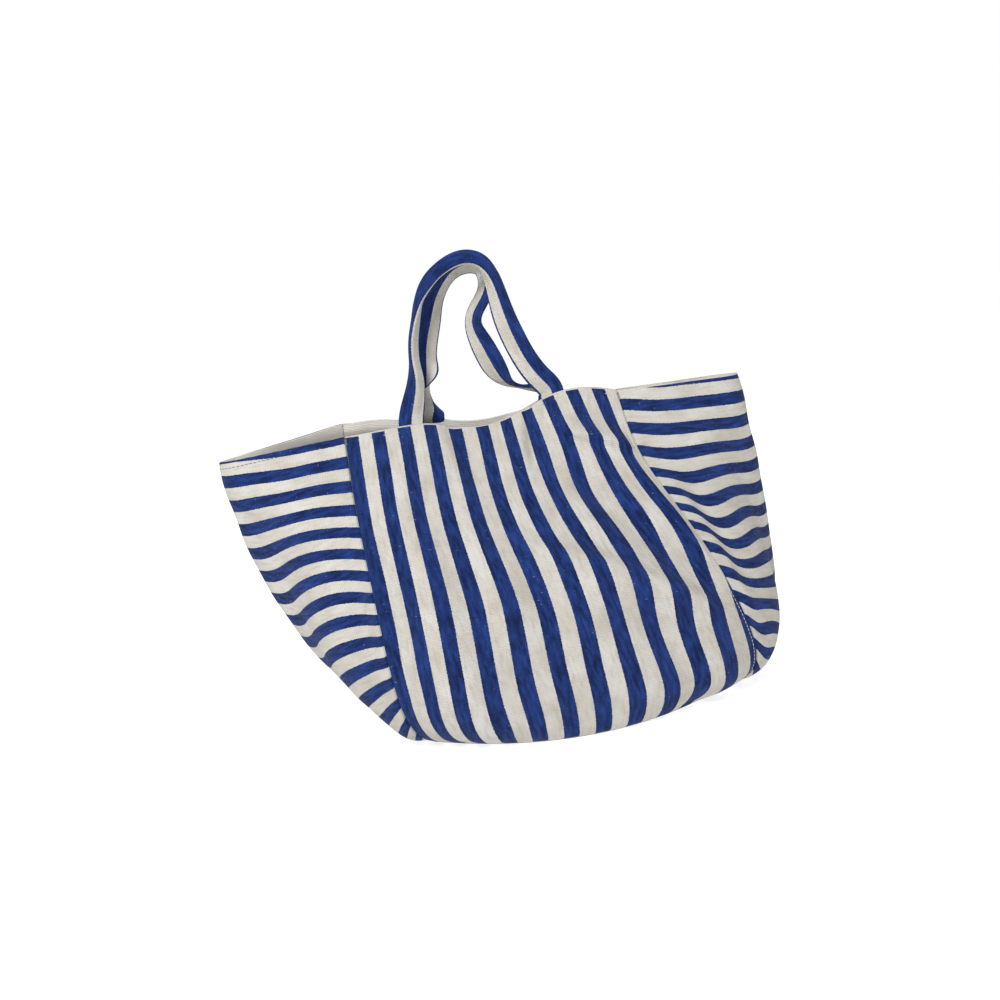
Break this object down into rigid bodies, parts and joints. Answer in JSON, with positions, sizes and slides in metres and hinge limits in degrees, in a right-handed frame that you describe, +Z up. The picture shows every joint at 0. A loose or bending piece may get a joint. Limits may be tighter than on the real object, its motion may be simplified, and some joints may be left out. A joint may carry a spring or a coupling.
{
  "type": "tote bag",
  "caption": "Large soft striped canvas tote bag standing on its base, mouth pulled nearly shut, with two strap handles that swing over the rim.",
  "frame": {"origin": "middle of the base's underside, on the surface that the bag stands on", "axes": "+Z up, -Y towards the front panel, +X to the right seen from the front, along the bag's length"},
  "size_m": [0.5649, 0.2588, 0.473],
  "materials": {
    "outer_canvas": "plain-weave cotton canvas in broad blue and cream stripes, matt, lightly slubbed",
    "lining_canvas": "plain cream cotton canvas, matt",
    "strap_canvas": "folded and stitched canvas strap, blue along one half and cream along the other, matt",
    "thread": "white cotton thread"
  },
  "bodies": {
    "bag": {"front_panel": "outer_canvas", "back_panel": "outer_canvas", "left_gusset": "outer_canvas", "right_gusset": "outer_canvas", "base_panel": "outer_canvas", "front_lining": "lining_canvas", "back_lining": "lining_canvas", "left_gusset_lining": "lining_canvas", "right_gusset_lining": "lining_canvas", "base_lining": "lining_canvas", "front_top_facing": "lining_canvas", "back_top_facing": "lining_canvas", "left_top_facing": "lining_canvas", "right_top_facing": "lining_canvas", "front_handle_left_end": "strap_canvas", "front_handle_right_end": "strap_canvas", "back_handle_left_end": "strap_canvas", "back_handle_right_end": "strap_canvas", "seam_top_tacks": "thread"},
    "front_handle": {"front_handle": "strap_canvas"},
    "back_handle": {"back_handle": "strap_canvas"}
  },
  "joints": [
    {"name": "front_handle_swing", "type": "hinge", "parent": "bag", "child": "front_handle", "pos_m": [-0.126, -0.014, 0.312], "axis": [0.9976, 0, 0.0698], "range_deg": [0, 140]},
    {"name": "back_handle_swing", "type": "hinge", "parent": "bag", "child": "back_handle", "pos_m": [-0.102, 0.016, 0.313], "axis": [0.9976, 0, 0.0698], "range_deg": [-110, 0]}
  ]
}
